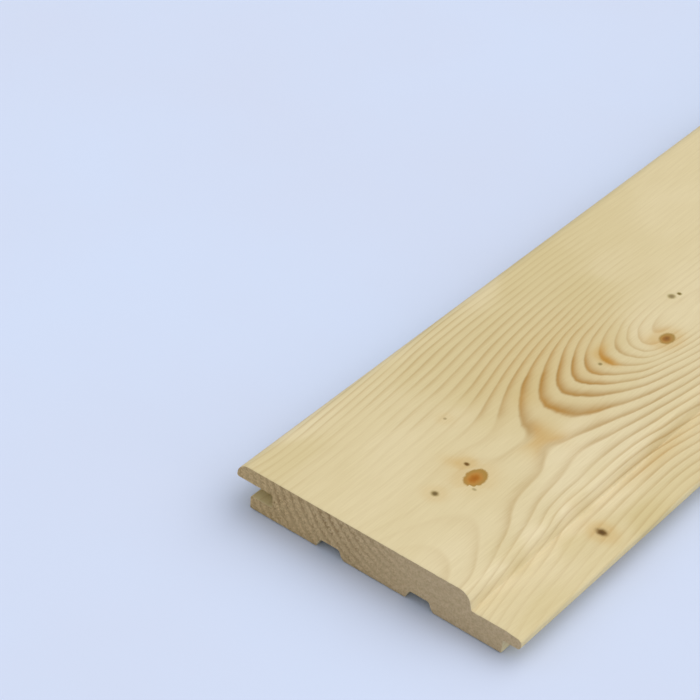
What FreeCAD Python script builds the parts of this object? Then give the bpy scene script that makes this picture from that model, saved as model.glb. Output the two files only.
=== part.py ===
import FreeCAD, Part
import math
import os

# A tongue and groove lining board in planed softwood, lying on its back with its face up.
# It is one stick of timber, run through a moulder that cuts all four sides at once, so the model is one
# moulded section drawn with lines and tangent arcs, and pushed along the length. Both ends are sawn square.
#
# The origin is on the plane of the back, at the middle of the length and of the width over the tongue.
# +Y runs along the board, +X towards the tongue and +Z out of the face.

# Driving dimensions, in millimetres.
length = 2000.0
thickness = 14.0
cover_width = 85.0              # from one board's lip to the next board's lip, once they are laid

# The tongue and the ledge, which are level with each other and make the floor of the visible channel.
tongue_reach = 10.0             # how far the tip goes in behind the next board's lip
tongue_thickness = 3.8
tongue_underside = 5.0          # height above the back
tongue_taper = 0.6              # the fall of the top from the lower shoulder to the tip
tongue_tip_radius = 1.2

# The groove takes a like board's tongue with these clearances.
clearance_above = 0.4
clearance_below = 0.2
clearance_at_root = 2.5
groove_corner_radius = 0.5

# The upper lip ends in a nose, and the lower lip stands back so that the face always closes first.
lip_under_radius = 0.8          # lower corner of the upper lip; the nose takes the rest of its thickness
lower_lip_setback = 5.0
lower_lip_radius = 0.6          # upper corner of the lower lip
back_joint_gap = 0.5            # between the lower lip and the next board's lower shoulder
back_edge_radius = 1.2

# The shoulder that the face ends in, and the channel that shows between it and the next board's lip.
channel_width = 6.0
shoulder_draft = 15.0           # degrees that the flank leans out from upright
ledge_corner_radius = 0.5

# Relief grooves in the back, which let the board lie flat over an uneven batten and cup less.
relief_count = 2
relief_spacing = 30.0
relief_mouth = 9.4
relief_ceiling = 6.4
relief_depth = 3.5
relief_corner_radius = 1.0

# Sizes that follow from those above. Across the section, x starts at the tip of the upper lip.
overall_width = cover_width + tongue_reach
ledge_height = tongue_underside + tongue_thickness
groove_floor = tongue_underside - clearance_below
groove_ceiling = ledge_height + clearance_above
groove_root = tongue_reach + clearance_at_root
lower_shoulder = cover_width + lower_lip_setback - back_joint_gap
nose_radius = thickness - groove_ceiling - lip_under_radius
shoulder_foot = cover_width - channel_width
shoulder_top = shoulder_foot - (thickness - ledge_height) * math.tan(math.radians(shoulder_draft))

SHORTEST_LINE = 1e-6            # where two arcs meet, no line is drawn between them


def round_corner(before, corner, after, radius):
    """Gives the start, middle and end of the tangent arc that rounds a corner between two straight sides."""
    back = (before - corner).normalize()
    ahead = (after - corner).normalize()
    half_angle = back.getAngle(ahead) / 2
    bisector = (back + ahead).normalize()
    centre = corner + bisector * (radius / math.sin(half_angle))
    cut = radius / math.tan(half_angle)
    return corner + back * cut, centre - bisector * radius, corner + ahead * cut


def rounded_outline(corners):
    """Closes sharp corners, each given as (x, z, radius), into one wire with an arc at each rounded one."""
    points = [FreeCAD.Vector(x, 0, z) for x, z, radius in corners]
    arcs = []
    for index, corner in enumerate(points):
        before, after = points[index - 1], points[(index + 1) % len(points)]
        arcs.append(round_corner(before, corner, after, corners[index][2]))
    edges = []
    for index, (start, middle, end) in enumerate(arcs):
        if corners[index][2] > 0:
            edges.append(Part.Arc(start, middle, end).toShape())
        next_start = arcs[(index + 1) % len(arcs)][0]
        if end.distanceToPoint(next_start) > SHORTEST_LINE:
            edges.append(Part.LineSegment(end, next_start).toShape())
    return Part.Wire(edges)


def face_side():
    """The upper lip's nose, the face, and the shoulder down to the ledge."""
    return [
        (0, thickness, nose_radius),
        (shoulder_top, thickness, nose_radius),
        (shoulder_foot, ledge_height, ledge_corner_radius),
    ]


def tongue_side():
    """The tongue, and the lower shoulder beneath it."""
    return [
        (lower_shoulder, ledge_height, 0),
        (overall_width, ledge_height - tongue_taper, tongue_tip_radius),
        (overall_width, tongue_underside, tongue_tip_radius),
        (lower_shoulder, tongue_underside, 0),
        (lower_shoulder, 0, back_edge_radius),
    ]


def back_side():
    """The relief grooves, from the tongue's side to the lip's, spaced evenly about the middle of the width."""
    corners = []
    for index in reversed(range(relief_count)):
        middle = overall_width / 2 + (index - (relief_count - 1) / 2) * relief_spacing
        corners += [
            (middle + relief_mouth / 2, 0, 0),
            (middle + relief_ceiling / 2, relief_depth, relief_corner_radius),
            (middle - relief_ceiling / 2, relief_depth, relief_corner_radius),
            (middle - relief_mouth / 2, 0, 0),
        ]
    return corners


def groove_side():
    """The lower lip, the groove, and the underside of the upper lip."""
    return [
        (lower_lip_setback, 0, back_edge_radius),
        (lower_lip_setback, groove_floor, lower_lip_radius),
        (groove_root, groove_floor, groove_corner_radius),
        (groove_root, groove_ceiling, groove_corner_radius),
        (0, groove_ceiling, lip_under_radius),
    ]


outline = rounded_outline(face_side() + tongue_side() + back_side() + groove_side())
outline.translate(FreeCAD.Vector(-overall_width / 2, -length / 2, 0))
board = Part.Face(outline).extrude(FreeCAD.Vector(0, length, 0))

os.makedirs("parts", exist_ok=True)
board.exportStep("parts/board.step")
print(f"board {overall_width:g} x {length:g} x {thickness:g} mm, {board.Volume / 1000:.1f} cm3")
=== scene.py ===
import bpy
import math
import numpy as np
from mathutils import Matrix, Vector
from mathutils.geometry import delaunay_2d_cdt


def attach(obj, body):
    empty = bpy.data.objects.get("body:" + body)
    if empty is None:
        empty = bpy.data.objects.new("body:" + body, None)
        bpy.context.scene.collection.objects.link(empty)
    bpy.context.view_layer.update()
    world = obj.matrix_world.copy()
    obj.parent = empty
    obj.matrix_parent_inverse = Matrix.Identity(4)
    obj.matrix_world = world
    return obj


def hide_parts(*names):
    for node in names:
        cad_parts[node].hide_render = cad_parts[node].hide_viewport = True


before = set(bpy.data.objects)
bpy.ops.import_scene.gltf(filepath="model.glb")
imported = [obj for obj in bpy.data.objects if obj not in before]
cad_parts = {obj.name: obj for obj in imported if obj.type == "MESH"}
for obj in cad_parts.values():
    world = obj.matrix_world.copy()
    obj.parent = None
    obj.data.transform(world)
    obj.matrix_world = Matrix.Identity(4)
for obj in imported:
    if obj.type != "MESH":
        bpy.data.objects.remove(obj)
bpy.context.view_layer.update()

# The board, one stick of spruce. It was sawn from near the heart of the log with the heart side up, put
# through a moulder that planed its face, shoulder, tongue, groove and back at once, and sawn square at both
# ends. Sizes are in millimetres: across from the lip's tip, along from the front end, up from the back.
LENGTH = 2000.0
WIDTH = 95.0
THICKNESS = 14.0
LEDGE = 8.8                     # top of the ledge and the tongue

# Sharp corners of the moulded section with the radius of each, clockwise from the tip of the upper lip.
SECTION = [
    (0, 14, 4), (77.607, 14, 4), (79, 8.8, 0.5), (89.5, 8.8, 0), (95, 8.2, 1.2), (95, 5, 1.2),
    (89.5, 5, 0), (89.5, 0, 1.2),
    (67.2, 0, 0), (65.7, 3.5, 1), (59.3, 3.5, 1), (57.8, 0, 0),
    (37.2, 0, 0), (35.7, 3.5, 1), (29.3, 3.5, 1), (27.8, 0, 0),
    (5, 0, 1.2), (5, 4.8, 0.6), (12.5, 4.8, 0.5), (12.5, 9.2, 0.5), (0, 9.2, 0.8),
]
FINE_STEP = 0.8                 # between points of the section on the face, the ledge and the tongue's top
COARSE_STEP = 3.0               # and on the sides that are hidden once the board is laid
ARC_STEP = math.radians(11)
TONGUE_FALL = 0.4               # the middle of the tongue's top lies less than this below the ledge
SAME_PLACE = 1e-4               # two points closer than this are made one
STEP_SLACK = 0.01               # part of a step by which a side may be too long before it gets one more


def walk_section():
    """Points round the section, with the corners rounded and the straight sides divided."""
    corners = np.array([(x, z) for x, z, radius in SECTION])
    rounded = []
    for index, (x, z, radius) in enumerate(SECTION):
        corner = corners[index]
        back = corners[index - 1] - corner
        ahead = corners[(index + 1) % len(corners)] - corner
        back, ahead = back / np.linalg.norm(back), ahead / np.linalg.norm(ahead)
        if not radius:
            rounded.append([corner])
            continue
        half = math.acos(float(back @ ahead)) / 2
        bisector = (back + ahead) / np.linalg.norm(back + ahead)
        centre = corner + bisector * radius / math.sin(half)
        start = corner + back * radius / math.tan(half) - centre
        end = corner + ahead * radius / math.tan(half) - centre
        turn = math.pi - 2 * half
        count = max(3, math.ceil(turn / ARC_STEP))
        arc = [centre + (start * math.sin(turn * (1 - k / count)) + end * math.sin(turn * k / count))
               / math.sin(turn) for k in range(count + 1)]
        rounded.append(arc)
    points = []
    for index, arc in enumerate(rounded):
        points.extend(arc)
        a, b = arc[-1], rounded[(index + 1) % len(rounded)][0]
        run = np.linalg.norm(b - a)
        seen = (a[1] + b[1]) / 2 > LEDGE - TONGUE_FALL and a[0] < b[0]
        count = math.ceil(run / (FINE_STEP if seen else COARSE_STEP) - STEP_SLACK)
        points.extend(a + (b - a) * k / count for k in range(1, count))
    clean = [points[0]]
    for point in points[1:]:
        if np.linalg.norm(point - clean[-1]) > SAME_PLACE:
            clean.append(point)
    if np.linalg.norm(clean[-1] - clean[0]) < SAME_PLACE:
        clean.pop()
    return np.array(clean)


FIELD_SCALE = 50.0              # lengths are divided by these two, so that the equations stay well balanced
LINE_SCALE = 500.0
BATCH = 4000                    # points worked out at a time, to save memory


def smooth_field(places, values, wanted, looseness):
    """A smooth surface that passes near values at scattered places, read at the wanted places."""
    def bend(apart):
        return np.where(apart > 0, apart ** 2 * np.log(np.maximum(apart, 1e-9)), 0.0)
    n = len(places)
    p, q = places / FIELD_SCALE, wanted / FIELD_SCALE
    system = np.zeros((n + 3, n + 3))
    system[:n, :n] = bend(np.linalg.norm(p[:, None] - p[None], axis=2)) + looseness * np.eye(n)
    system[:n, n:] = np.column_stack([np.ones(n), p])
    system[n:, :n] = system[:n, n:].T
    weights = np.linalg.solve(system, np.concatenate([values, np.zeros(3)]))
    found = np.empty(len(q))
    for start in range(0, len(q), BATCH):
        part = q[start:start + BATCH]
        near = bend(np.linalg.norm(part[:, None] - p[None], axis=2))
        plane = np.column_stack([np.ones(len(part)), part])
        found[start:start + BATCH] = near @ weights[:n] + plane @ weights[n:]
    return found


def smooth_line(stations, values, wanted):
    """A smooth curve through values at stations along the board."""
    s = np.array(stations, float) / LINE_SCALE
    n = len(s)
    system = np.zeros((n + 2, n + 2))
    system[:n, :n] = np.abs(s[:, None] - s[None]) ** 3
    system[:n, n:] = np.column_stack([np.ones(n), s])
    system[n:, :n] = system[:n, n:].T
    weights = np.linalg.solve(system, np.concatenate([values, np.zeros(2)]))
    w = wanted / LINE_SCALE
    return np.abs(w[:, None] - s[None]) ** 3 @ weights[:n] + weights[n] + weights[n + 1] * w


# The tree that the board was cut from. The pith runs above the face, and wanders. Yearly rings are
# numbered outward from the first arch of the figure near the front end.
HEART = [           # along, across to the pith, its height over the face, ring on the face below, ring width
    (0, 54, 12, 7.4, 2.6), (60, 55, 14, 9.0, 2.0), (120, 52, 6, 1.5, 2.2), (170, 50, 5, -0.5, 2.1),
    (260, 48, 10, -2.0, 1.9), (420, 50, 14, 0.5, 2.0), (620, 44, 16, 4.0, 2.1), (800, 47, 12, 1.0, 2.0),
    (1000, 52, 10, -2.5, 1.9), (1220, 50, 13, 0.5, 2.0), (1450, 43, 17, 4.5, 2.1), (1700, 46, 14, 1.5, 2.2),
    (2000, 50, 9, -1.0, 2.4),
]

# Where the rings' dark lines cross the face, as (across, along), near the front end: the arches one by one,
# and towards the lip only every few rings, to half a millimetre, because the lines run side by side there.
# Where the cutter only grazed ring 9, between its two arms, the face lies a little inside it.
RING_LINES = {
    1: [(46.7, 128.3), (50.3, 120.8), (52.2, 119.4), (54.4, 119.7)],
    2: [(45, 122.4), (48.9, 117), (52.2, 115.9), (55, 116.4)],
    3: [(42, 130), (44.2, 120.3), (45.3, 116.2), (49.4, 111.7), (52.2, 111.3), (54.2, 112.4), (58.3, 116)],
    4: [(41.3, 118), (43.3, 111.7), (46.1, 106.3), (48.9, 105.6), (51.4, 104.9), (53.9, 106.5),
        (57, 109.7), (59.7, 115.3)],
    5: [(39.8, 114), (41.7, 107.3), (43.7, 102.5), (47.2, 98.3), (50, 97.8), (52.2, 99),
        (57, 104.3), (59.9, 108.3), (62, 116)],
    6: [(35.5, 130), (37, 117), (39.7, 103.7), (43.9, 95.7), (46.1, 93), (48.9, 92), (51.1, 93), (54, 95.2),
        (59.5, 102.3), (63.2, 111), (65.5, 120.7), (36, 145)],
    7: [(35.3, 108.5), (39.7, 96.3), (43.9, 88.2), (46.1, 86), (48.9, 84.9), (51.1, 85.8),
        (53.9, 88), (59.6, 95.3), (63.8, 103.3), (66.8, 115.3)],
    8: [(35.3, 98.5), (39.3, 88), (42.5, 82.2), (45, 78.6), (47.8, 76.9),
        (51.1, 77.3), (55, 78.8), (58.9, 82), (63.8, 92.3), (67.4, 103.3), (70.1, 115.7),
        (55.3, 18), (58.7, 21.3), (62, 22.7), (64.7, 20.7), (67.3, 17.3), (70, 13.3), (74.3, 5)],
    9: [(29, 145), (29, 130), (31, 110), (34.5, 90), (38, 79.6), (42.4, 72.4), (46.9, 66.7), (50, 65.2),
        (51.9, 63.5), (53.5, 60.8), (59.8, 66.1), (63.4, 76.1), (66.8, 87.3), (69.9, 98), (72.3, 112),
        (53, 58), (52.5, 50), (50.5, 46), (47, 44), (58, 60), (60, 58), (63.5, 52), (63.7, 46.7),
        (64.3, 40.7), (67.1, 32.7), (71.3, 25.3), (73.7, 17.3)],
    8.75: [(56, 61.5), (56, 64.5), (54.3, 65.2), (57.7, 65.7)],
    8.6: [(56, 67.8), (52.5, 68.3), (59, 69.5)],
    8.3: [(56, 56), (56, 73)],
    10: [(74.8, 113.3), (72.2, 96.7), (70.3, 85.3), (67, 71.7), (66.5, 64), (68.2, 55), (69.8, 42.8),
         (72.7, 33.3), (74.3, 26), (43, 60), (44, 50), (42, 40), (42.5, 12)],
    11: [(76.9, 109.7), (75.2, 96), (73.3, 81.7), (72.6, 70), (73.3, 56), (73.7, 45), (76, 35),
         (26, 160), (25.5, 130), (26.5, 110), (29, 90), (34, 70), (38, 50), (38.5, 30), (38.5, 10)],
    12: [(78, 92), (76.2, 80), (75.7, 70), (76, 57), (75.8, 46), (76.4, 41)],
    13: [(21, 130), (23.5, 90), (27.5, 70), (30, 50), (31.5, 10)],
    15: [(17, 160), (16, 130), (16.5, 110), (18, 90), (20.5, 70), (22, 50), (24, 30), (25, 10)],
    17: [(11.5, 130), (12.5, 90), (14.5, 70), (16, 50), (17.5, 30), (18, 10)],
    19: [(7.5, 130), (7.5, 90), (8.5, 70), (10.5, 50), (12, 30), (12.5, 10)],
    22: [(2, 120), (1.5, 90), (2.5, 70), (4, 50), (5, 30), (6, 10)],
}
LEDGE_LINES = {                 # the same on the ledge and the tongue
    14: [(80.5, 35), (84, 15), (85.5, 6)],
    15: [(81.5, 90), (81, 75), (81.5, 55), (84, 35), (87, 15), (88.5, 6)],
    17: [(87.5, 90), (87, 75), (88, 55), (90.5, 35)],
    19: [(92, 80), (92.5, 70), (94, 55)],
}
GRAIN_SQUEEZE = 0.5             # the figure is drawn out along the grain, so lengths along it count half
LOOSENESS = 0.002               # lets the rings pass a little beside the listed places
RING_FADE = (170, 380)          # along the board, where the lists begin to fade and where they end


def heart(along):
    """The four values that HEART gives after the station, for any place along the board."""
    stations = np.array(HEART, float)
    return [smooth_line(stations[:, 0], stations[:, k], along) for k in (1, 2, 3, 4)]


def ring_at_heart(across, along, up):
    """Ring number from the pith's place alone."""
    pith, over, first, ring_width = heart(along)
    return first + (np.hypot(across - pith, over + THICKNESS - up) - over) / ring_width


def fade(value, low, high):
    """0 below low, 1 above high, and smooth between."""
    t = np.clip((value - low) / (high - low), 0, 1)
    return t * t * (3 - 2 * t)


def ring_number(across, along, up):
    """Ring number anywhere in the board, bent to pass through the lines on the face near the front end."""
    traced, numbers = [], []
    for lines, height in ((RING_LINES, THICKNESS), (LEDGE_LINES, LEDGE)):
        for number, places in lines.items():
            for x, y in places:
                traced.append((x, y, height))
                numbers.append(number)
    traced, numbers = np.array(traced, float), np.array(numbers, float)
    gap = numbers - ring_at_heart(*traced.T)
    known = traced[:, :2] * (1, GRAIN_SQUEEZE)
    wanted = np.column_stack([across, along * GRAIN_SQUEEZE])
    near = along < RING_FADE[1]
    bend = np.zeros(len(across))
    bend[near] = smooth_field(known, gap, wanted[near], LOOSENESS)
    return ring_at_heart(across, along, up) + bend * (1 - fade(along, *RING_FADE))


# How strongly the dark lines show near the front end: across, along, strength.
LINE_STRENGTH = [
    (50, 90, 1.0), (50, 78, 1.0), (44, 95, 0.95), (60, 85, 0.9), (62, 105, 0.6), (58, 118, 0.3),
    (63, 122, 0.4), (54, 112, 0.5), (40, 84, 1.0), (50, 70, 0.8), (43, 71, 0.8), (66, 90, 0.65),
    (70, 75, 0.55), (74, 90, 0.6), (75.5, 60, 0.3), (72.4, 60, 0.28), (66.5, 60, 0.3), (77.4, 60, 0.36),
    (78.7, 30, 0.22), (78.7, 45, 0.3), (78.7, 60, 0.34), (78.8, 75, 0.45), (69, 45, 0.4),
    (69.2, 15, 0.22), (76, 40, 0.3), (81, 75, 0.6), (81, 60, 0.42), (84, 70, 0.32), (87, 80, 0.42),
    (88, 62, 0.3), (92, 75, 0.22), (84, 40, 0.14), (86, 52, 0.25), (92, 40, 0.12), (84, 20, 0.15),
    (92, 15, 0.08), (84, 105, 0.42), (48, 106, 0.85), (52, 118, 0.35), (46, 122, 0.3), (38, 110, 0.52),
    (36, 90, 0.66), (70, 110, 0.55), (68, 102, 0.7), (28, 110, 0.42), (20, 100, 0.44), (10, 110, 0.31),
    (30, 75, 0.52), (20, 66, 0.38), (10, 70, 0.46), (28, 92, 0.5), (10, 90, 0.4), (10, 125, 0.2),
    (25, 125, 0.27), (35, 122, 0.32), (42, 130, 0.16), (38, 66, 0.52), (30, 56, 0.12), (42, 58, 0.16),
    (20, 50, 0.14), (8, 50, 0.34), (4, 30, 0.44), (4, 50, 0.34), (22.5, 49, 0.3), (1.5, 30, 0.25),
    (1.5, 60, 0.2), (1.5, 110, 0.15), (1.5, 150, 0.1), (22, 92, 0.5), (43, 110, 0.4), (10, 30, 0.2),
    (17, 34, 0.08), (30, 35, 0.06), (4, 12, 0.24), (10, 12, 0.12), (25, 15, 0.04), (40, 15, 0.05),
    (48, 45, 0.08), (38, 40, 0.08), (50, 28, 0.04), (53, 54, 0.22), (60, 58, 0.45), (63, 46, 0.4),
    (66, 33, 0.4), (71, 24, 0.38), (60, 20, 0.1), (58, 36, 0.03), (66, 15, 0.12), (74, 14, 0.25),
    (55, 6, 0.06), (73.4, 45, 0.36), (75.8, 44, 0.45), (5, 140, 0.16), (25, 140, 0.12), (40, 140, 0.07),
    (55, 140, 0.05), (10, 160, 0.05), (30, 160, 0.04), (60, 165, 0.04), (80, 130, 0.4), (90, 130, 0.4),
    (75, 160, 0.15), (5, 200, 0.05), (40, 220, 0.05), (80, 220, 0.2), (20, 190, 0.03),
]
STRENGTH_FADE = (220, 420)      # along the board, where the list begins to fade and where it ends
ALONG_WEIGHT = 0.6              # lengths along the grain count for less
PLACE_REACH = 2.0               # within about this distance, the value of a listed place holds


def near_places(list_of_places, across, along):
    """A value for each point from a list of (across, along, value), mostly from the nearest places."""
    known = np.array(list_of_places, float)
    found = np.empty(len(across))
    for start in range(0, len(across), BATCH):
        x, y = across[start:start + BATCH], along[start:start + BATCH]
        apart = np.hypot(x[:, None] - known[:, 0], (y[:, None] - known[:, 1]) * ALONG_WEIGHT)
        weight = 1 / (apart ** 4 + PLACE_REACH ** 4)
        found[start:start + BATCH] = (weight @ known[:, 2]) / weight.sum(1)
    return found


def line_strength(across, along):
    """Strength of the dark lines, from the list near the front end and drifting farther along."""
    beyond = 0.42 + 0.2 * np.sin(along / 97 + across / 31) * np.cos(along / 143 - 1.0)
    mix = fade(along, *STRENGTH_FADE)
    return near_places(LINE_STRENGTH, across, along) * (1 - mix) + beyond * mix


# How pale or tan the wood is near the front end: across, along, and 1 for pale or -1 for tan. A value past
# 1 spreads its paleness a little farther. The pale places on the shoulder's flank and at its foot, 77.5 to
# 80 across, are painted light that lifts the shade falling in the crease there, and those on the lip's nose,
# 1.5 across, are a painted highlight. The dark places on the ledge and the tongue's top only make them
# darker.
TONES_AND_PAINTED_LIGHT = [
    (70, 8, 0.35), (72, 55, 0.6), (68, 66, 0.6), (75, 62, 0.15), (75, 40, 0.05), (74.5, 20, -0.1),
    (62, 75, 0.2), (66, 100, 0.1), (56, 100, -0.3), (12, 45, -0.1), (35, 52, 0.0), (15, 90, -0.7),
    (12, 65, -0.5), (25, 130, -0.75), (25, 145, -0.15), (8, 150, -0.6), (8, 118, -0.75), (10, 135, -0.8),
    (25, 185, 0.1), (50, 128, 0.3), (50, 150, 0.3), (20, 15, -0.1), (8, 12, -0.45), (32, 90, -0.7),
    (20, 110, -0.6), (44, 112, -0.6), (50, 15, 0.0), (60, 40, -0.1), (50, 50, -0.1), (5, 60, -0.3),
    (15, 210, 0.0), (40, 15, 0.0), (30, 30, 0.1), (38, 80, -0.85), (30, 70, -0.8), (14, 72, -0.7),
    # The places 1.5 across on the next line are a painted highlight on the lip's nose.
    (40, 64, -0.4), (52, 85, -0.4), (52, 72, -0.3), (1.5, 20, 0.4), (1.5, 60, 0.4), (1.5, 110, 0.1),
    (84, 10, 0.1), (84, 62, 0.6), (84, 40, -0.4), (93, 45, -0.4), (90, 44, -0.2), (86.5, 62, -0.3),
    (90, 62, -1.0), (93, 62, -1.0), (93, 15, -0.5), (93, 80, -0.6), (88, 52, -0.35), (81, 84, -0.2),
    # The pale places from 77.5 across are painted light over the shade on the flank and in the crease at its
    # foot.
    (77, 20, 0.0), (77, 50, 0.1), (77.5, 80, 0.5), (78.7, 15, 0.9), (78.7, 30, 1.0), (78.7, 45, 1.1),
    (78.7, 60, 0.8), (80, 45, 0.5), (80, 30, 0.4), (80, 130, 0.2),
]
TONE_FADE = (200, 420)


def tone_and_painted_light(across, along):
    """Paleness of the wood, with painted light on the shoulder's flank and a painted highlight on the lip's
    nose, from the list near the front end and drifting farther along.
    """
    beyond = 0.45 * np.sin(along / 83 + 1.3) * np.cos(across / 24 + along / 310)
    mix = fade(along, *TONE_FADE)
    return near_places(TONES_AND_PAINTED_LIGHT, across, along) * (1 - mix) + beyond * mix


# Knots that come through to the face: across, along, half width, half length, how dead and dark, how
# plainly it shows, and the warm glow round it. A live branch has grown into the wood and is amber, and a
# dead one stands in its dark bark.
KNOTS = [
    (51.9, 38.0, 2.9, 4.15, 0.0, 1.0, 0.4), (46.7, 41.0, 1.0, 0.85, 0.9, 1.0, 0.8),
    (54.5, 33.9, 0.8, 0.6, 0.9, 0.5, 0.1), (47.6, 25.4, 1.3, 1.2, 1.0, 0.9, 0.5),
    (81.8, 48.0, 2.1, 1.6, 1.0, 1.0, 0.9), (56.5, 125.8, 2.2, 3.0, 0.22, 0.95, 0.9),
    (46.2, 144.1, 1.35, 1.4, 0.9, 0.75, 0.1), (47.2, 146.8, 0.85, 0.8, 0.9, 0.95, 0.0),
    (30.6, 52.6, 0.6, 0.6, 0.9, 0.5, 0.3), (48.8, 102.5, 0.75, 0.8, 0.9, 0.7, 0.1),
    (33.0, 372.0, 5.2, 5.6, 0.1, 1.0, 0.5), (61.0, 388.0, 2.1, 2.3, 0.8, 1.0, 0.6),
    (40.0, 455.0, 0.9, 1.0, 0.9, 0.9, 0.3), (70.0, 560.0, 1.2, 1.3, 0.9, 1.0, 0.4),
    (46.0, 705.0, 6.4, 7.0, 0.2, 1.0, 0.6), (24.0, 722.0, 1.8, 2.0, 0.9, 1.0, 0.5),
    (66.0, 731.0, 1.3, 1.4, 0.8, 0.9, 0.4), (52.0, 845.0, 0.9, 1.0, 0.9, 0.9, 0.3),
    (18.0, 930.0, 1.1, 1.2, 0.9, 1.0, 0.4), (58.0, 1040.0, 4.4, 4.9, 0.0, 1.0, 0.5),
    (38.0, 1052.0, 1.0, 1.0, 0.9, 0.9, 0.5), (49.0, 1190.0, 1.0, 1.1, 0.8, 0.8, 0.3),
    (29.0, 1345.0, 5.6, 6.2, 0.1, 1.0, 0.6), (56.0, 1362.0, 2.4, 2.7, 0.9, 1.0, 0.6),
    (72.0, 1371.0, 0.9, 1.0, 0.9, 1.0, 0.4), (45.0, 1500.0, 0.8, 0.9, 0.9, 0.8, 0.3),
    (63.0, 1665.0, 6.0, 6.6, 0.1, 1.0, 0.6), (34.0, 1682.0, 1.5, 1.6, 0.9, 1.0, 0.5),
    (50.0, 1790.0, 1.0, 1.0, 0.8, 0.9, 0.3), (22.0, 1885.0, 1.2, 1.3, 0.9, 0.9, 0.4),
    (41.0, 1960.0, 3.9, 4.4, 0.2, 1.0, 0.6),
]

# Patches of warmer, orange-tan wood and of resin: across, along, half width, half length, strength.
WARM_PATCHES = [
    (38, 94, 15, 30, 0.45), (43, 39, 3.2, 2.4, 0.7), (50, 36, 9, 7, 0.35), (49.3, 105.2, 3.6, 1.7, 2.0),
    (45.3, 108, 1.5, 3.0, 1.1), (81, 86, 2.5, 14, 0.5), (53, 121.5, 2.6, 2.2, 0.5),
    (50, 97, 5.0, 3.0, 0.3), (44, 110, 1.5, 4.0, 0.3), (50, 77, 7.0, 2.5, 0.3), (60, 67, 5.0, 2.5, 0.3),
    (45, 44, 3.0, 2.0, 0.2), (42, 74, 3.0, 5.0, 0.3), (60, 84, 4.0, 4.0, 0.25),
]


def warmth(across, along):
    """How orange the wood is."""
    total = np.zeros(len(across))
    for x, y, wide, long, strength in WARM_PATCHES:
        total += strength * np.exp(-((across - x) / wide) ** 2 - ((along - y) / long) ** 2)
    return total


BARE_PLACE = (55.5, 63)         # across and along
BARE_SIZE = (6, 6.5)            # half width and half length
BARE_RINGS = (8.75, 9)          # it ends between these ring numbers
BARE_WARMTH = 1.4


def grazed(across, along, ring):
    """Between the two arms of ring 9 the cutter ran just under its latewood, and left it bare."""
    (x, y), (wide, long) = BARE_PLACE, BARE_SIZE
    spread = np.exp(-((across - x) / wide) ** 4 - ((along - y) / long) ** 2)
    return spread * (1 - fade(ring, *BARE_RINGS))


BRANCH_START = 12.0             # the branches point at a line this far above the pith
GLOW_WIDTH = 1.5                # past the rim of a knot
GLOW_FULL = 0.8                 # part of the way out up to which the glow is full
GLOW_FALL = 2.5                 # how steeply it falls past that


def nearest_knot(across, along, up):
    """For each point, where its nearest knot lies across the board at its depth, and that knot's entry."""
    known = np.array(KNOTS, float)
    pith, over = heart(known[:, 1])[:2]
    best = np.full(len(across), np.inf)
    chosen = np.zeros(len(across), int)
    place_x = np.zeros(len(across))
    for k, (x, y, wide) in enumerate(known[:, :3]):
        middle = pith[k] + (x - pith[k]) * (1 + (THICKNESS - up) / (over[k] + BRANCH_START))
        reach = np.hypot(across - middle, along - y) - wide
        closer = reach < best
        best[closer] = reach[closer]
        chosen[closer] = k
        place_x[closer] = middle[closer]
    return place_x, known[chosen]


def knot_glow(across, along, up):
    """The warm colour round each knot, which fades out over a few millimetres."""
    x, knot = nearest_knot(across, along, up)
    wide, long = knot[:, 2] + GLOW_WIDTH, knot[:, 3] + GLOW_WIDTH
    apart = np.hypot((across - x) / wide, (along - knot[:, 1]) / long)
    return knot[:, 6] * np.exp(-np.maximum(apart - GLOW_FULL, 0) ** 2 * GLOW_FALL)


def linear(hex_colour):
    """A colour written as sRGB hex, in the linear values that a shader takes."""
    parts = [int(hex_colour[k:k + 2], 16) / 255 for k in (1, 3, 5)]
    parts = [c / 12.92 if c <= 0.04045 else ((c + 0.055) / 1.055) ** 2.4 for c in parts]
    return (*parts, 1.0)


def add(tree, kind, sockets=None, output=0, stops=None, **settings):
    """
    Adds one node with its settings, and sets or links its sockets. Gives back one of its outputs.

    A socket goes by its number, or by its name where the node has only one of that name. On a Mix node 0 is
    the factor, and 6 and 7 are the colours. On a Map Range node 1 and 2 are the range that it takes, and 3
    and 4 the range that it gives. A list of outputs is for a socket that takes several.
    """
    new = tree.nodes.new(kind)
    for name, value in settings.items():
        setattr(new, name, value)
    for key, values in (sockets or {}).items():
        for value in values if isinstance(values, list) else [values]:
            if isinstance(value, bpy.types.NodeSocket):
                tree.links.new(value, new.inputs[key])
            else:
                new.inputs[key].default_value = value
    if stops:
        ramp = new.color_ramp
        while len(ramp.elements) < len(stops):
            ramp.elements.new(0.5)
        for element, (position, colour) in zip(ramp.elements, stops):
            element.position = position
            element.color = linear(colour) if isinstance(colour, str) else (colour, colour, colour, 1)
    return new.outputs[output] if new.outputs else new


MIX_COLOURS = {"data_type": "RGBA", "output": 2}    # what a Mix node needs to mix colours

# Planed spruce, dry and unfinished. The knives leave it smooth, so the eye gets cream wood with darker
# lines where each year's growth ended, soft on the side of the pith and sharp on the other, a fine streak
# from its fibres along the grain, amber knots, and a faint silky sheen.
planed = bpy.data.materials.new("planed_spruce")
planed.use_nodes = True
tree = planed.node_tree
tree.nodes.clear()
place = add(tree, "ShaderNodeTexCoord", output=3)
ring = add(tree, "ShaderNodeAttribute", output=2, attribute_name="ring")
strength = add(tree, "ShaderNodeAttribute", output=2, attribute_name="line_strength")
warm = add(tree, "ShaderNodeAttribute", output=2, attribute_name="warmth")
# Paleness, with painted light on the shoulder's flank and a painted highlight on the lip's nose.
paleness_and_painted_light = add(tree, "ShaderNodeAttribute", output=2, attribute_name="tone_and_painted_light")

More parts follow.
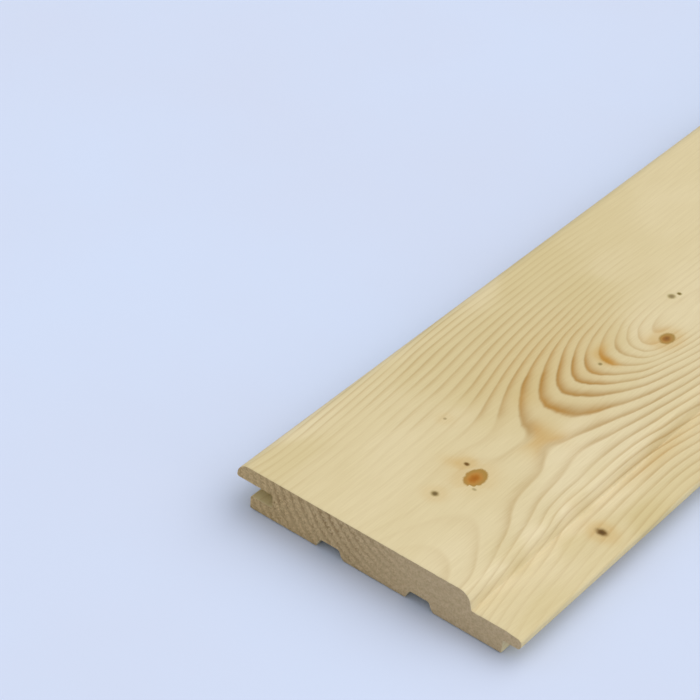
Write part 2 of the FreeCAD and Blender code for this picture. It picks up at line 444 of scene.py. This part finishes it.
# Fibre bundles 0.4 mm wide and 12 mm long, bands 2 mm wide and 70 mm long, and clouds 15 mm wide and 50 mm
# long, all as how many fit in a metre. Real fibres are ten times finer, which would not show.
FIBRES = (2500, 85, 2500)
BANDS = (500, 14, 500)
CLOUDS = (66, 20, 66)
fibre_place = add(tree, "ShaderNodeMapping", {0: place, 3: FIBRES})
fibre = add(tree, "ShaderNodeTexNoise", {0: fibre_place, 2: 1.0, 3: 3.0, 4: 0.6})
band_place = add(tree, "ShaderNodeMapping", {0: place, 3: BANDS})
band = add(tree, "ShaderNodeTexNoise", {0: band_place, 2: 1.0, 3: 3.0, 4: 0.5})
cloud_place = add(tree, "ShaderNodeMapping", {0: place, 3: CLOUDS})
cloud = add(tree, "ShaderNodeTexNoise", {0: cloud_place, 2: 1.0, 3: 2.0, 4: 0.5})

# The dark line of each ring, dark where the ring number is whole and frayed a little by the fibres.
shift = add(tree, "ShaderNodeMath", {0: fibre, 1: 0.12, 2: 0.4}, operation="MULTIPLY_ADD")
shift = add(tree, "ShaderNodeMath", {0: band, 1: 0.14, 2: shift}, operation="MULTIPLY_ADD")
shifted = add(tree, "ShaderNodeMath", {0: ring, 1: shift}, operation="ADD")
phase = add(tree, "ShaderNodeMath", {0: shifted}, operation="FRACT")
line = add(tree, "ShaderNodeValToRGB", {0: phase}, stops=[
    (0.0, 0.1), (0.12, 0.24), (0.25, 0.44), (0.38, 0.7), (0.49, 0.92), (0.55, 1.0), (0.61, 0.75),
    (0.68, 0.1), (0.75, 0.0), (1.0, 0.1)])

# Pale or tan wood, with painted light on the shoulder's flank and a painted highlight on the lip's nose, its
# streaks and its warmth, and the lines over them, thinner where they are faint.
paler_and_painted_lit = add(tree, "ShaderNodeMath", {0: cloud, 1: 0.7, 2: -0.35}, operation="MULTIPLY_ADD")
paler_and_painted_lit = add(tree, "ShaderNodeMath", {0: paler_and_painted_lit, 1: paleness_and_painted_light}, operation="ADD")
paler_and_painted_lit = add(tree, "ShaderNodeMapRange", {0: paler_and_painted_lit, 1: -1.0, 2: 1.0})
wood = add(tree, "ShaderNodeMix", {0: paler_and_painted_lit, 6: linear("#D4C391"), 7: linear("#ECDEBA")}, **MIX_COLOURS)
streak = add(tree, "ShaderNodeMapRange", {0: fibre, 1: 0.35, 2: 0.75, 3: 0.04, 4: 0.34})
wood = add(tree, "ShaderNodeMix", {0: streak, 6: wood, 7: linear("#C8B483")}, **MIX_COLOURS)
warm_wood = add(tree, "ShaderNodeMath", {0: warm, 1: 0.4}, operation="MULTIPLY", use_clamp=True)
wood = add(tree, "ShaderNodeMix", {0: warm_wood, 6: wood, 7: linear("#C9A052")}, **MIX_COLOURS)
late = add(tree, "ShaderNodeMix", {0: warm, 6: linear("#AC874A"), 7: linear("#B67E1C")}, **MIX_COLOURS)
thinness = add(tree, "ShaderNodeMapRange", {0: strength, 1: 0.4, 2: 0.9, 3: 1.8, 4: 1.0})
line = add(tree, "ShaderNodeMath", {0: line, 1: thinness}, operation="POWER")
line_amount = add(tree, "ShaderNodeMath", {0: line, 1: strength}, operation="MULTIPLY", use_clamp=True)
wood = add(tree, "ShaderNodeMix", {0: line_amount, 6: wood, 7: late}, **MIX_COLOURS)

# Knots, each with a ragged rim. A live one is amber, darker at its heart, which lies a little off the
# middle. A dead one is brown or olive, and its rim is soft.
middle = add(tree, "ShaderNodeAttribute", output=1, attribute_name="knot_middle")
size = add(tree, "ShaderNodeAttribute", output=1, attribute_name="knot_size")
looks = add(tree, "ShaderNodeAttribute", output=1, attribute_name="knot_looks")
dead, plainness, core_shade = add(tree, "ShaderNodeSeparateXYZ", {0: looks}).node.outputs
away = add(tree, "ShaderNodeVectorMath", {0: place, 1: middle}, operation="SUBTRACT")
away = add(tree, "ShaderNodeVectorMath", {0: away, 1: size}, operation="DIVIDE")
RAGS = (900, 800, 900)          # a little over 1 mm each
RAGGEDNESS = (0.34, 0.34, 0.0)
CORE_SHIFT = (0.03, 0.1, 0.0)
ragged_place = add(tree, "ShaderNodeMapping", {0: place, 3: RAGS})
ragged = add(tree, "ShaderNodeTexNoise", {0: ragged_place, 2: 1.0, 3: 3.0, 4: 0.6}, output=1)
ragged = add(tree, "ShaderNodeVectorMath", {0: ragged, 1: (0.5, 0.5, 0.5)}, operation="SUBTRACT")
away = add(tree, "ShaderNodeVectorMath", {0: ragged, 1: RAGGEDNESS, 2: away}, operation="MULTIPLY_ADD")
reach = add(tree, "ShaderNodeVectorMath", {0: away}, output=1, operation="LENGTH")
core = add(tree, "ShaderNodeVectorMath", {0: away, 1: CORE_SHIFT}, operation="ADD")
core = add(tree, "ShaderNodeVectorMath", {0: core}, output=1, operation="LENGTH")
live_knot = add(tree, "ShaderNodeValToRGB", {0: core}, stops=[
    (0.0, "#A2600E"), (0.28, "#AB6A16"), (0.55, "#B78136"), (0.8, "#AC843E"), (0.95, "#A8823A"),
    (1.0, "#A8843F")])
dead_knot = add(tree, "ShaderNodeValToRGB", {0: reach}, stops=[
    (0.0, "#563A14"), (0.4, "#6E4E22"), (0.8, "#8F7040"), (1.0, "#A88D5C")])
olive_knot = add(tree, "ShaderNodeValToRGB", {0: reach}, stops=[
    (0.0, "#544617"), (0.4, "#6F632B"), (0.8, "#918447"), (1.0, "#AC9E60")])
dead_knot = add(tree, "ShaderNodeMix", {0: core_shade, 6: dead_knot, 7: olive_knot}, **MIX_COLOURS)
knot_colour = add(tree, "ShaderNodeMix", {0: dead, 6: live_knot, 7: dead_knot}, **MIX_COLOURS)
heartwood = add(tree, "ShaderNodeMath", {0: 1.0, 1: dead}, operation="SUBTRACT")
heartwood = add(tree, "ShaderNodeMath", {0: heartwood, 1: core_shade}, operation="MULTIPLY")
heartwood = add(tree, "ShaderNodeMapRange", {0: reach, 1: 0.6, 2: 0.1, 3: 0.0, 4: heartwood})
knot_colour = add(tree, "ShaderNodeMix", {0: heartwood, 6: knot_colour, 7: linear("#6E4A16")}, **MIX_COLOURS)
outer_rim = add(tree, "ShaderNodeMath", {0: dead, 1: 0.22, 2: 1.12}, operation="MULTIPLY_ADD")
inner_rim = add(tree, "ShaderNodeMath", {0: dead, 1: -0.5, 2: 0.9}, operation="MULTIPLY_ADD")
knot_mask = add(tree, "ShaderNodeMapRange", {0: reach, 1: outer_rim, 2: inner_rim, 3: 0.0, 4: plainness},
                interpolation_type="SMOOTHSTEP")
wood = add(tree, "ShaderNodeMix", {0: knot_mask, 6: wood, 7: knot_colour}, **MIX_COLOURS)

# The knives press the soft wood down, so the dark lines stand a little proud.
LINE_RELIEF = 0.00013           # metres
relief = add(tree, "ShaderNodeMath", {0: fibre, 1: 0.5, 2: line_amount}, operation="MULTIPLY_ADD")
raised = add(tree, "ShaderNodeBump", {"Strength": 0.8, "Distance": LINE_RELIEF, "Height": relief})
gloss = add(tree, "ShaderNodeMapRange", {0: line_amount, 3: 0.58, 4: 0.46})
surface = add(tree, "ShaderNodeBsdfPrincipled", {
    "Base Color": wood, "Roughness": gloss, "IOR": 1.5, "Specular IOR Level": 0.15, "Normal": raised})
add(tree, "ShaderNodeOutputMaterial", {0: surface})

# The sawn end of the same wood. It is cut across the fibres, so it is darker and duller, rough from the
# saw's teeth, and shows the rings as arcs round the pith, plain at the lip and faint under the tongue.
sawn = bpy.data.materials.new("sawn_end_grain")
sawn.use_nodes = True
tree = sawn.node_tree
tree.nodes.clear()
place = add(tree, "ShaderNodeTexCoord", output=3)
ring = add(tree, "ShaderNodeAttribute", output=2, attribute_name="ring")
plain = add(tree, "ShaderNodeAttribute", output=2, attribute_name="end_lines")
sideways = add(tree, "ShaderNodeSeparateXYZ", {0: place})
toward_tongue = add(tree, "ShaderNodeMapRange", {0: sideways, 1: -0.036, 2: 0.02})

# The cut ends of fibre bundles, 0.7 mm across, and the marks of the saw's teeth, 1.6 mm across. The shift
# picks the slice of that pattern that the front end shows.
PORES = (1500, 1500, 1500)
TEARS = (620, 620, 620)
TEAR_SHIFT = (0.0, 0.6, 0.0)
PORE_RELIEF = 0.0003            # metres
pore_place = add(tree, "ShaderNodeMapping", {0: place, 3: PORES})
pore = add(tree, "ShaderNodeTexNoise", {0: pore_place, 2: 1.0, 3: 3.0, 4: 0.6})
tear_place = add(tree, "ShaderNodeMapping", {0: place, 2: TEAR_SHIFT, 3: TEARS})
tear = add(tree, "ShaderNodeTexNoise", {0: tear_place, 2: 1.0, 3: 2.0, 4: 0.5})
shifted = add(tree, "ShaderNodeMath", {0: pore, 1: 1.1, 2: ring}, operation="MULTIPLY_ADD")
shifted = add(tree, "ShaderNodeMath", {0: tear, 1: 1.0, 2: shifted}, operation="MULTIPLY_ADD")
phase = add(tree, "ShaderNodeMath", {0: shifted, 1: -0.5}, operation="ADD")
phase = add(tree, "ShaderNodeMath", {0: phase}, operation="FRACT")
line = add(tree, "ShaderNodeValToRGB", {0: phase}, stops=[
    (0.0, 0.0), (0.2, 0.2), (0.4, 0.75), (0.54, 1.0), (0.66, 0.3), (0.76, 0.0)])
ground = add(tree, "ShaderNodeMix", {
    0: toward_tongue, 6: linear("#E2C491"), 7: linear("#DCC39B")}, **MIX_COLOURS)
mottle = add(tree, "ShaderNodeMath", {0: toward_tongue, 1: -0.35, 2: 0.75}, operation="MULTIPLY_ADD")
grainy = add(tree, "ShaderNodeMapRange", {0: pore, 1: 0.42, 2: 0.72, 3: 0.0, 4: mottle})
ground = add(tree, "ShaderNodeMix", {0: grainy, 6: ground, 7: linear("#9C7E4E")}, **MIX_COLOURS)
torn = add(tree, "ShaderNodeMapRange", {0: tear, 1: 0.38, 2: 0.7, 3: 0.35, 4: 0.0})
ground = add(tree, "ShaderNodeMix", {0: torn, 6: ground, 7: linear("#B49D72")}, **MIX_COLOURS)
broken = add(tree, "ShaderNodeMapRange", {0: tear, 1: 0.32, 2: 0.62, 3: 0.35, 4: 1.0})
broken = add(tree, "ShaderNodeMath", {0: broken, 1: plain}, operation="MULTIPLY")
line_amount = add(tree, "ShaderNodeMath", {0: line, 1: broken}, operation="MULTIPLY", use_clamp=True)
ground = add(tree, "ShaderNodeMix", {0: line_amount, 6: ground, 7: linear("#86663A")}, **MIX_COLOURS)
relief = add(tree, "ShaderNodeMath", {0: line_amount, 1: 0.5, 2: pore}, operation="MULTIPLY_ADD")
raised = add(tree, "ShaderNodeBump", {"Strength": 0.9, "Distance": PORE_RELIEF, "Height": relief})
surface = add(tree, "ShaderNodeBsdfPrincipled", {
    "Base Color": ground, "Roughness": 0.85, "IOR": 1.5, "Specular IOR Level": 0.08, "Normal": raised})
add(tree, "ShaderNodeOutputMaterial", {0: surface})

# The moulder's work: the section is pushed along a path whose points lie close together near the sawn
# ends and near the front, where the grain is drawn finest.
outline = walk_section()
ring_count = len(outline)
RUNS = {                        # how far the close stations go, and the steps between stations
    "Length": LENGTH, "Arris length": 2.0, "Arris step": 0.25,
    "Fine length": 250.0, "Fine step": 1.25, "Far step": 15.5,
}
MERGE_REACH = 0.00001           # metres

moulder = bpy.data.node_groups.new("moulder", "GeometryNodeTree")
moulder.interface.new_socket("Section", in_out="INPUT", socket_type="NodeSocketGeometry")
identifiers = {}
for name in RUNS:
    socket = moulder.interface.new_socket(name, in_out="INPUT", socket_type="NodeSocketFloat")
    identifiers[name] = socket.identifier
moulder.interface.new_socket("Board", in_out="OUTPUT", socket_type="NodeSocketGeometry")
given = add(moulder, "NodeGroupInput").node.outputs
section = add(moulder, "GeometryNodeMeshToCurve", {0: given["Section"]})
half = add(moulder, "ShaderNodeMath", {0: given["Length"], 1: -0.5}, operation="MULTIPLY")
fine_start = add(moulder, "ShaderNodeMath", {0: half, 1: given["Arris length"]}, operation="ADD")
far_start = add(moulder, "ShaderNodeMath", {0: half, 1: given["Fine length"]}, operation="ADD")
back_start = add(moulder, "ShaderNodeMath", {0: fine_start, 1: -1.0}, operation="MULTIPLY")
back_end = add(moulder, "ShaderNodeMath", {0: half, 1: -1.0}, operation="MULTIPLY")
runs = []
for start, end, step in ((half, fine_start, "Arris step"), (fine_start, far_start, "Fine step"),
                         (far_start, back_start, "Far step"), (back_start, back_end, "Arris step")):
    run = add(moulder, "ShaderNodeMath", {0: end, 1: start}, operation="SUBTRACT")
    count = add(moulder, "ShaderNodeMath", {0: run, 1: given[step]}, operation="DIVIDE")
    count = add(moulder, "ShaderNodeMath", {0: count}, operation="ROUND")
    step_length = add(moulder, "ShaderNodeMath", {0: run, 1: count}, operation="DIVIDE")
    count = add(moulder, "ShaderNodeMath", {0: count, 1: 1.0}, operation="ADD")
    from_place = add(moulder, "ShaderNodeCombineXYZ", {1: start})
    offset = add(moulder, "ShaderNodeCombineXYZ", {1: step_length})
    runs.append(add(moulder, "GeometryNodeMeshLine", {
        "Count": count, "Start Location": from_place, "Offset": offset}))
path = add(moulder, "GeometryNodeJoinGeometry", {0: runs[::-1]})
path = add(moulder, "GeometryNodeMergeByDistance", {0: path, "Distance": MERGE_REACH})
path = add(moulder, "GeometryNodeMeshToCurve", {0: path})
body = add(moulder, "GeometryNodeCurveToMesh", {"Curve": path, "Profile Curve": section})
body = add(moulder, "GeometryNodeRealizeInstances", {0: body})
body = add(moulder, "GeometryNodeSetMaterial", {0: body, "Material": planed})
add(moulder, "NodeGroupOutput", {0: body})

blank = bpy.data.meshes.new("section")
blank.from_pydata([((x - WIDTH / 2) / 1000, -z / 1000, 0) for x, z in outline],
                  [(k, (k + 1) % ring_count) for k in range(ring_count)], [])
stick = bpy.data.objects.new("section", blank)
bpy.context.collection.objects.link(stick)
push = stick.modifiers.new("moulder", "NODES")
push.node_group = moulder
for name, value in RUNS.items():
    push[identifiers[name]] = value / 1000
graph = bpy.context.evaluated_depsgraph_get()
swept = bpy.data.meshes.new_from_object(stick.evaluated_get(graph))
bpy.data.objects.remove(stick)
bpy.data.meshes.remove(blank)

points = np.empty(len(swept.vertices) * 3)
swept.vertices.foreach_get("co", points)
points = points.reshape(-1, 3) * 1000 + (WIDTH / 2, LENGTH / 2, 0)
faces = [tuple(face.vertices) for face in swept.polygons]
bpy.data.meshes.remove(swept)

# The number of the first point at each station, from the front end to the back.
station_starts = np.argsort(points[::ring_count, 1]) * ring_count
front_rim = station_starts[0] + np.arange(ring_count)
back_rim = station_starts[-1] + np.arange(ring_count)

# Sawing off the ends broke the sharp edge a little all round, with a chip here and there.
EDGE_WEAR = 0.05
CHIP_DEPTH = 0.32
CHIP_LENGTH = 1.3               # along the board
CHIP_RARENESS = 0.75            # only draws above this make a chip
dice = np.random.default_rng(11)
run = np.roll(outline, -1, axis=0) - np.roll(outline, 1, axis=0)
inward = np.column_stack([run[:, 1], -run[:, 0]]) / np.linalg.norm(run, axis=1)[:, None]
for end in (0.0, LENGTH):
    drawn = np.tile(dice.normal(size=ring_count), 3)
    drawn = np.convolve(drawn, (0.25, 0.5, 0.25), "same")[ring_count:2 * ring_count]
    bite = EDGE_WEAR + CHIP_DEPTH * np.clip(drawn - CHIP_RARENESS, 0, 1)
    for start in station_starts:
        away = abs(points[start, 1] - end)
        if away < CHIP_LENGTH:
            part = (1 - away / CHIP_LENGTH) ** 2
            points[start:start + ring_count, 0] += inward[:, 0] * bite * part
            points[start:start + ring_count, 2] += inward[:, 1] * bite * part

# Each sawn end is a sheet of small facets, torn back a little between the fibres.
CAP_START = 0.5                 # the first row of facets, from the edge
CAP_STEP = 0.6
CAP_JITTER = 0.2
CAP_MARGIN = 0.42               # the facets' inner points stay this far from the edge
SAW_DEPTH = 0.16


def inside_section(places, margin):
    """True for places inside the section and not nearer than the margin to its outline."""
    a, run = outline, np.roll(outline, -1, axis=0) - outline
    t = np.clip(((places[:, None] - a) * run).sum(2) / (run ** 2).sum(1), 0, 1)
    apart = np.linalg.norm(places[:, None] - a - t[:, :, None] * run, axis=2).min(1)
    x, z = places[:, :1], places[:, 1:]
    rise = np.where(run[:, 1] == 0, 1, run[:, 1])
    spans = (a[:, 1] > z) != (a[:, 1] + run[:, 1] > z)
    crossed = spans & (x < a[:, 0] + (z - a[:, 1]) * run[:, 0] / rise)
    return (crossed.sum(1) % 2 == 1) & (apart > margin)


grid_x = np.arange(CAP_START, WIDTH, CAP_STEP)
grid_z = np.arange(CAP_START, THICKNESS, CAP_STEP)
grid = np.array([(x, z) for z in grid_z for x in grid_x])
grid += dice.uniform(-CAP_JITTER, CAP_JITTER, grid.shape)
grid = grid[inside_section(grid, CAP_MARGIN)]
loop = [(k, (k + 1) % ring_count) for k in range(ring_count)]
flat_points = [Vector(p) for p in np.vstack([outline, grid])]
INSIDE_ONLY = 1                 # keeps only the triangles inside the loop
cap_points, _, cap_faces, cap_from, _, _ = delaunay_2d_cdt(flat_points, loop, [], INSIDE_ONLY, 1e-5)
new_points, side_count = [], len(faces)
for end, rim, facing in ((0.0, front_rim, 1), (LENGTH, back_rim, -1)):
    index = {}
    for n, origins in enumerate(cap_from):
        on_rim = [o for o in origins if o < ring_count]
        if on_rim:
            index[n] = int(rim[on_rim[0]])
        else:
            index[n] = len(points) + len(new_points)
            depth = SAW_DEPTH * dice.uniform() ** 2
            new_points.append((cap_points[n].x, end + facing * depth, cap_points[n].y))
    for face in cap_faces:
        a, b, c = (index[n] for n in face)
        faces.append((a, b, c) if facing > 0 else (a, c, b))
points = np.vstack([points, new_points])

# The saw came out through the back, and took the lower edge of each end away in a soft curve.
TORN_HEIGHT = 1.0               # of the curve, up the end
TORN_REACH = 0.45               # how far its lowest points are moved in along the board
TORN_RISE = TORN_REACH / 3      # and up
TORN_LENGTH = 4 * TORN_REACH    # of the curve, along the back
for end, facing in ((0.0, 1), (LENGTH, -1)):
    low_down = np.clip(1 - points[:, 2] / TORN_HEIGHT, 0, 1) ** 2
    near_end = np.clip(1 - abs(points[:, 1] - end) / TORN_LENGTH, 0, 1) ** 2
    points[:, 1] += facing * TORN_REACH * low_down * near_end
    points[:, 2] += TORN_RISE * low_down * near_end ** 2
across, along, up = points.T
is_end = np.arange(len(faces)) >= side_count

mesh = bpy.data.meshes.new("board_planed")
mesh.from_pydata(((points - (WIDTH / 2, LENGTH / 2, 0)) / 1000).tolist(), [], faces)
mesh.materials.append(planed)
mesh.materials.append(sawn)
mesh.polygons.foreach_set("material_index", is_end.astype(np.int32))
mesh.polygons.foreach_set("use_smooth", ~is_end)


def keep(name, values, domain="POINT"):
    """Stores one value or vector for each point or face of the board, for its materials to read."""
    values = np.asarray(values, np.float32)
    vector = values.ndim == 2
    layer = mesh.attributes.new(name, "FLOAT_VECTOR" if vector else "FLOAT", domain)
    layer.data.foreach_set("vector" if vector else "value", values.ravel())


# How plainly the sawn ends show the rings: across, up, strength. Here height isn't to count for less, so it
# is stretched first.
END_LINES = [
    (3, 12, 0.2), (8, 12, 0.35), (14, 12, 0.65), (15, 6, 0.7), (7, 2.5, 0.45), (14, 2.5, 0.45),
    (20, 12, 0.65), (20, 6, 0.55), (21, 2.5, 0.4), (26, 11, 0.65), (26, 5, 0.45), (31, 11, 0.8),
    (36, 11, 0.7), (34, 6, 0.5), (40, 8, 0.6), (45, 10, 0.55), (50, 11, 0.4), (48, 4, 0.25),
    (56, 11, 0.2), (62, 10, 0.15), (75, 8, 0.08), (88, 5, 0.05), (60, 5, 0.1),
]
end_lines = [(x, z / ALONG_WEIGHT, strength) for x, z, strength in END_LINES]
keep("end_lines", near_places(end_lines, across, up / ALONG_WEIGHT))
ring_of = ring_number(across, along, up)
keep("ring", ring_of)
keep("line_strength", line_strength(across, along))
# Paleness, with painted light on the shoulder's flank and a painted highlight on the lip's nose.
keep("tone_and_painted_light", tone_and_painted_light(across, along))
bare = BARE_WARMTH * grazed(across, along, ring_of)
keep("warmth", warmth(across, along) + knot_glow(across, along, up) + bare)
face_middles = np.array([points[list(face)].mean(axis=0) for face in faces])
knot_x, knot = nearest_knot(*face_middles.T)
flat = np.zeros(len(knot))
keep("knot_middle", np.column_stack([knot_x - WIDTH / 2, knot[:, 1] - LENGTH / 2, flat]) / 1000, "FACE")

# A knot goes through the board, so its size upward has no end. The shade of its core is how dark the heart
# of a live knot is, or how olive a dead one is.
ENDLESS = 1e3
keep("knot_size", np.column_stack([knot[:, 2] / 1000, knot[:, 3] / 1000, flat + ENDLESS]), "FACE")
deadness = knot[:, 4]
shade = np.where(deadness < 0.5, 4 * deadness * (1 - deadness), 1 - knot[:, 6])
keep("knot_looks", np.column_stack([deadness, knot[:, 5], shade]), "FACE")

board = bpy.data.objects.new("board_planed", mesh)
bpy.context.collection.objects.link(board)
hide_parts("board")
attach(board, "root")

# Floor, not part of the object: a wide sheet of matt paper, pale blue-white and faintly mottled.
FLOOR_HALF = 30.0               # metres
paper = bpy.data.meshes.new("paper")
paper_corners = [(x * FLOOR_HALF, y * FLOOR_HALF, 0) for x, y in ((-1, -1), (1, -1), (1, 1), (-1, 1))]
paper.from_pydata(paper_corners, [], [(0, 1, 2, 3)])
matt = bpy.data.materials.new("matt_paper")
matt.use_nodes = True
tree = matt.node_tree
tree.nodes.clear()
place = add(tree, "ShaderNodeTexCoord", output=3)
blotch = add(tree, "ShaderNodeTexNoise", {0: place, 2: 9.0, 3: 3.0, 4: 0.5})
blotch = add(tree, "ShaderNodeMapRange", {0: blotch, 1: 0.3, 2: 0.7})
shade = add(tree, "ShaderNodeMix", {
    0: blotch, 6: linear("#D4DDF3"), 7: linear("#D4E0F8")}, **MIX_COLOURS)
surface = add(tree, "ShaderNodeBsdfDiffuse", {0: shade})
add(tree, "ShaderNodeOutputMaterial", {0: surface})
paper.materials.append(matt)
floor = bpy.data.objects.new("paper", paper)
bpy.context.collection.objects.link(floor)

# Light: a pale dome, dimmer toward the horizon, one large soft light high behind the board, and a weak one
# low on its tongue's side. They are far off, so the board is lit alike all along its length.
SKY_AT_HORIZON = 0.22
SKY_HIGH = 0.69
world = bpy.data.worlds.new("studio")
world.use_nodes = True
bpy.context.scene.world = world
tree = world.node_tree
tree.nodes.clear()
direction = add(tree, "ShaderNodeTexCoord")
height = add(tree, "ShaderNodeSeparateXYZ", {0: direction}, output=2)
dome = add(tree, "ShaderNodeMapRange", {0: height, 1: 0.0, 2: 0.6, 3: SKY_AT_HORIZON, 4: SKY_HIGH})
lit = add(tree, "ShaderNodeBackground", {0: (0.965, 0.98, 1.0, 1), 1: dome})
backdrop = add(tree, "ShaderNodeBackground", {0: linear("#D4DFF8"), 1: 1.0})
seen = add(tree, "ShaderNodeLightPath", output=0)
sky = add(tree, "ShaderNodeMixShader", {0: seen, 1: lit, 2: backdrop})
add(tree, "ShaderNodeOutputWorld", {0: sky})
LIGHTS = [          # name, where it shines from, strength, how wide it looks in degrees, colour
    ("high_light", (0.75, 1.85, 2.4), 1.47, 72, (1.0, 0.985, 0.965)),
    ("side_light", (2.2, 0.1, 0.55), 0.34, 34, (1.0, 0.99, 0.97)),
]
for name, place, strength, spread, colour in LIGHTS:
    lamp = bpy.data.lights.new(name, "SUN")
    lamp.energy = strength
    lamp.angle = math.radians(spread)
    lamp.color = colour
    light = bpy.data.objects.new(name, lamp)
    bpy.context.collection.objects.link(light)
    light.location = place
    light.rotation_mode = "QUATERNION"
    light.rotation_quaternion = light.location.to_track_quat("Z", "Y")

# Camera, where the photograph was taken from.
AZIMUTH = math.radians(35.9634)
ELEVATION = math.radians(37.7467)
ROLL = math.radians(4.0826)
AIM = Vector((-0.0556, -0.9410, 0.0140))
DISTANCE = 0.75235
lens = bpy.data.cameras.new("camera")
lens.sensor_width = 36
lens.lens = 135.635
lens.clip_start = 0.01
camera = bpy.data.objects.new("camera", lens)
bpy.context.collection.objects.link(camera)
turn = Matrix.Rotation(AZIMUTH, 4, "Z") @ Matrix.Rotation(math.pi / 2 - ELEVATION, 4, "X")
turn = turn @ Matrix.Rotation(ROLL, 4, "Z")
camera.matrix_world = Matrix.Translation(AIM) @ turn @ Matrix.Translation((0, 0, DISTANCE))
bpy.context.scene.camera = camera
bpy.context.scene.view_settings.view_transform = "Standard"
